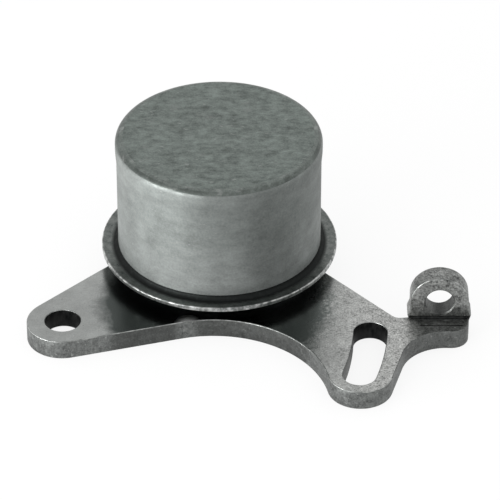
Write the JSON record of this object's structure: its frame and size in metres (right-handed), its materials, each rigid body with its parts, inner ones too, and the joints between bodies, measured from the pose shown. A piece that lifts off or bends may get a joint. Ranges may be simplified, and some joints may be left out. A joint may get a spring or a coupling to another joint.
{
  "type": "timing belt idler pulley on a slotted pivot plate",
  "caption": "Flanged steel cup pulley on a ball bearing, pinned to a flat pivot plate with a round hole, an arc slot and a bent-up eared lug.",
  "frame": {"origin": "on the pulley's axis, in the rear face of the plate, where the riveted end of the pin lies flush", "axes": "+Z along the pulley's axis from the plate to the cup's closed end; +X from the pivot hole side to the eared lug side; -Y towards the slot"},
  "size_m": [0.1277, 0.1012, 0.0481],
  "materials": {
    "plate_steel": "bare blanked and bent steel plate, dull grey, faintly mottled",
    "cup_steel": "bare steel cup, satin, with fine scuffs and nicks",
    "turned_steel": "turned steel",
    "ring_steel": "ground bearing steel",
    "ball_steel": "polished bearing steel",
    "spring_steel": "blackened spring steel",
    "shield_steel": "pressed sheet steel",
    "seal_rubber": "black nitrile rubber",
    "cage_nylon": "natural moulded nylon"
  },
  "bodies": {
    "bracket": {"base_plate": "plate_steel", "bearing_pin": "turned_steel", "pin_collar": "turned_steel", "dust_shield": "shield_steel", "spacer_ring": "turned_steel", "head_washer": "turned_steel", "inner_ring_lower": "ring_steel", "inner_ring_upper": "ring_steel"},
    "pulley": {"pulley_cup": "cup_steel", "snap_ring": "spring_steel", "outer_ring": "ring_steel", "seal_lower": "seal_rubber", "seal_upper": "seal_rubber"},
    "lower_row": {"cage_lower": "cage_nylon", "ball_lower_01": "ball_steel", "ball_lower_02": "ball_steel", "ball_lower_03": "ball_steel", "ball_lower_04": "ball_steel", "ball_lower_05": "ball_steel", "ball_lower_06": "ball_steel", "ball_lower_07": "ball_steel", "ball_lower_08": "ball_steel", "ball_lower_09": "ball_steel"},
    "upper_row": {"cage_upper": "cage_nylon", "ball_upper_01": "ball_steel", "ball_upper_02": "ball_steel", "ball_upper_03": "ball_steel", "ball_upper_04": "ball_steel", "ball_upper_05": "ball_steel", "ball_upper_06": "ball_steel", "ball_upper_07": "ball_steel", "ball_upper_08": "ball_steel", "ball_upper_09": "ball_steel"}
  },
  "joints": [
    {"name": "pulley_spin", "type": "hinge", "parent": "bracket", "child": "pulley", "pos_m": [0, 0, 0.027], "axis": [0, 0, 1], "continuous": true},
    {"name": "lower_row_spin", "type": "hinge", "parent": "bracket", "child": "lower_row", "pos_m": [0, 0, 0.0221], "axis": [0, 0, 1], "continuous": true},
    {"name": "upper_row_spin", "type": "hinge", "parent": "bracket", "child": "upper_row", "pos_m": [0, 0, 0.0319], "axis": [0, 0, 1], "continuous": true}
  ],
  "couplings": [
    {"joint": "lower_row_spin", "follows": "pulley_spin", "ratio": 0.61025},
    {"joint": "upper_row_spin", "follows": "pulley_spin", "ratio": 0.61025}
  ]
}
